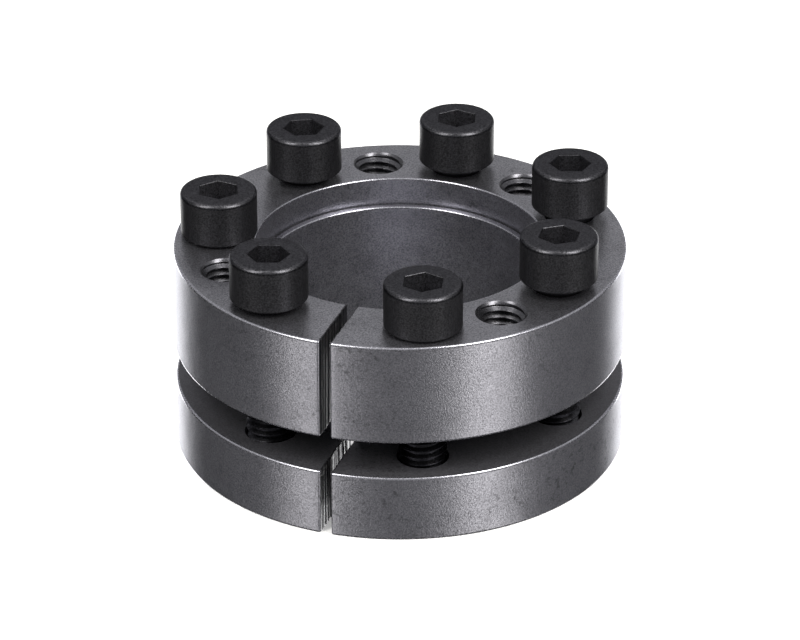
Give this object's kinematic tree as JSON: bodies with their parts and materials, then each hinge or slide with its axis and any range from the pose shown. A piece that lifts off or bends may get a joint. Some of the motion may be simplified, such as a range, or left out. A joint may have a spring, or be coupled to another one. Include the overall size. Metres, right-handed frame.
{
  "type": "keyless shaft locking assembly",
  "caption": "Keyless locking assembly that clamps a hub on a plain shaft: split tapered rings drawn together by socket head screws.",
  "frame": {"origin": "centre of the rear ring's lower face, on the shaft axis", "axes": "+Z along the shaft axis, towards the screw heads; the saw slits of the three rings face -Y"},
  "size_m": [0.075, 0.075, 0.0446],
  "materials": {
    "ring_steel": "machined steel, lightly oiled, dark grey satin",
    "screw_steel": "black oxide, satin"
  },
  "bodies": {
    "rear_ring": {"rear_outer_ring": "ring_steel"},
    "front_ring": {"front_outer_ring": "ring_steel"},
    "inner_sleeve": {"inner_ring": "ring_steel"},
    "screw_1": {"clamp_screw_1": "screw_steel"},
    "screw_2": {"clamp_screw_2": "screw_steel"},
    "screw_3": {"clamp_screw_3": "screw_steel"},
    "screw_4": {"clamp_screw_4": "screw_steel"},
    "screw_5": {"clamp_screw_5": "screw_steel"},
    "screw_6": {"clamp_screw_6": "screw_steel"},
    "screw_7": {"clamp_screw_7": "screw_steel"}
  },
  "joints": [
    {"name": "front_ring_closing", "type": "slide", "parent": "rear_ring", "child": "front_ring", "axis": [0, 0, 1], "range_m": [-0.0015, 0]},
    {"name": "inner_ring_closing", "type": "slide", "parent": "rear_ring", "child": "inner_sleeve", "axis": [0, 0, 1], "range_m": [-0.00075, 0]},
    {"name": "screw_1_travel", "type": "slide", "parent": "front_ring", "child": "screw_1", "axis": [0, 0, 1], "range_m": [-0.00015, 0.0062]},
    {"name": "screw_2_travel", "type": "slide", "parent": "front_ring", "child": "screw_2", "axis": [0, 0, 1], "range_m": [-0.00145, 0.0049]},
    {"name": "screw_3_travel", "type": "slide", "parent": "front_ring", "child": "screw_3", "axis": [0, 0, 1], "range_m": [-0.0017, 0.00465]},
    {"name": "screw_4_travel", "type": "slide", "parent": "front_ring", "child": "screw_4", "axis": [0, 0, 1], "range_m": [-0.0014, 0.00495]},
    {"name": "screw_5_travel", "type": "slide", "parent": "front_ring", "child": "screw_5", "axis": [0, 0, 1], "range_m": [-0.00115, 0.0052]},
    {"name": "screw_6_travel", "type": "slide", "parent": "front_ring", "child": "screw_6", "axis": [0, 0, 1], "range_m": [-0.0003, 0.00605]},
    {"name": "screw_7_travel", "type": "slide", "parent": "front_ring", "child": "screw_7", "axis": [0, 0, 1], "range_m": [-0.0009, 0.00545]}
  ],
  "couplings": [
    {"joint": "inner_ring_closing", "follows": "front_ring_closing", "ratio": 0.5}
  ]
}
